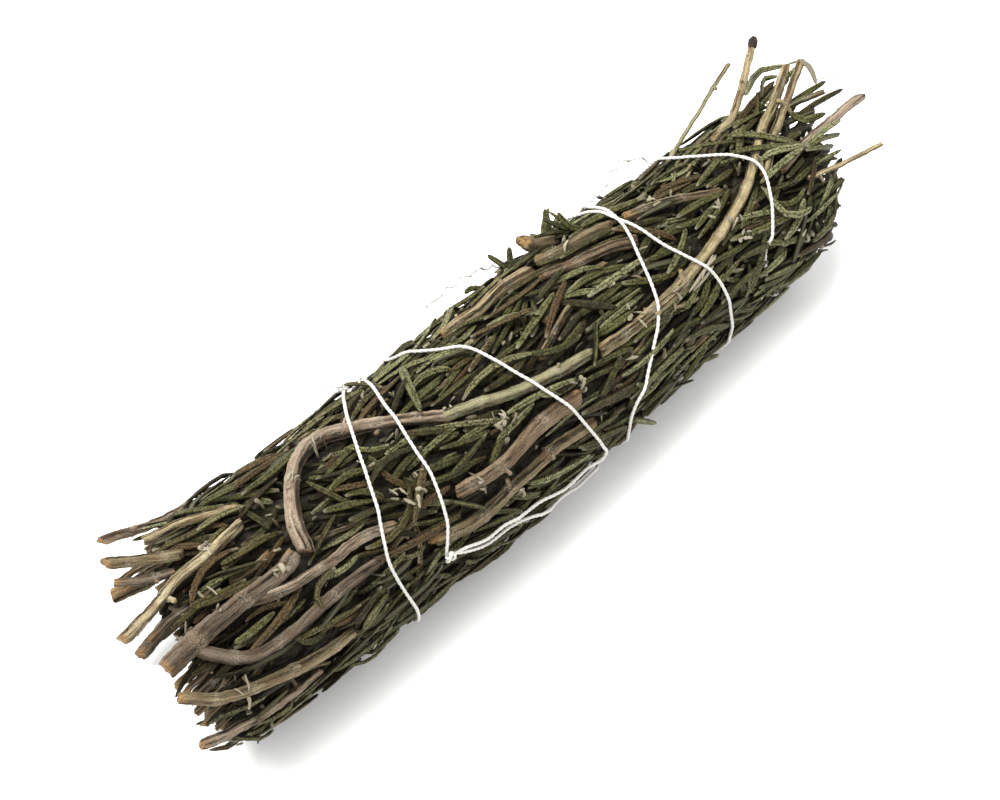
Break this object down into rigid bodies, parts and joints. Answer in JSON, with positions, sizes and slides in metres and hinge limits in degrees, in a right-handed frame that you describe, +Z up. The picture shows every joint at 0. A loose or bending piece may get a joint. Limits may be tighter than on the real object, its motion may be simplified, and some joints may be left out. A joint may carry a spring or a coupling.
{
  "type": "smudge stick",
  "caption": "Dried rosemary sprigs and bare woody stems laid side by side and bound into a bundle with cotton thread, burned at one end for its smoke.",
  "frame": {"origin": "middle of the flat spot that the bundle rests on, under its axis and half-way along its body", "axes": "+X along the bundle from the cut stem ends to the leafy end, +Z up from the surface it lies on"},
  "size_m": [0.1982, 0.0467, 0.0459],
  "materials": {
    "dried_leaves": "matte, dried",
    "stem_bark": "rough bark",
    "cotton_thread": "twisted thread"
  },
  "bodies": {
    "root": {"leafy_sprig_01": "dried_leaves", "leafy_sprig_02": "dried_leaves", "leafy_sprig_03": "dried_leaves", "leafy_sprig_04": "dried_leaves", "leafy_sprig_05": "dried_leaves", "leafy_sprig_06": "dried_leaves", "leafy_sprig_07": "dried_leaves", "leafy_sprig_08": "dried_leaves", "leafy_sprig_09": "dried_leaves", "leafy_sprig_10": "dried_leaves", "hooked_stem": "stem_bark", "long_stem": "stem_bark", "long_stem_twin": "stem_bark", "forked_stem": "stem_bark", "broken_stem": "stem_bark", "side_stem": "stem_bark", "short_twig": "stem_bark", "crest_stem_1": "stem_bark", "crest_stem_2": "stem_bark", "crest_stem_3": "stem_bark", "crest_stem_4": "stem_bark", "crest_stub": "stem_bark", "near_stem_1": "stem_bark", "near_stem_2": "stem_bark", "near_stem_3": "stem_bark", "near_stem_4": "stem_bark", "near_stem_5": "stem_bark", "near_stem_6": "stem_bark", "near_stem_7": "stem_bark", "far_stem_1": "stem_bark", "far_stem_2": "stem_bark", "far_stem_3": "stem_bark", "far_stem_4": "stem_bark", "back_stem_1": "stem_bark", "back_stem_2": "stem_bark", "back_stem_3": "stem_bark", "back_stem_4": "stem_bark", "back_stem_5": "stem_bark", "heart_stem_1": "stem_bark", "heart_stem_2": "stem_bark", "heart_stem_3": "stem_bark", "heart_stem_4": "stem_bark", "heart_stem_5": "stem_bark", "heart_stem_6": "stem_bark", "heart_stem_7": "stem_bark", "cotton_thread": "cotton_thread"}
  },
  "joints": []
}
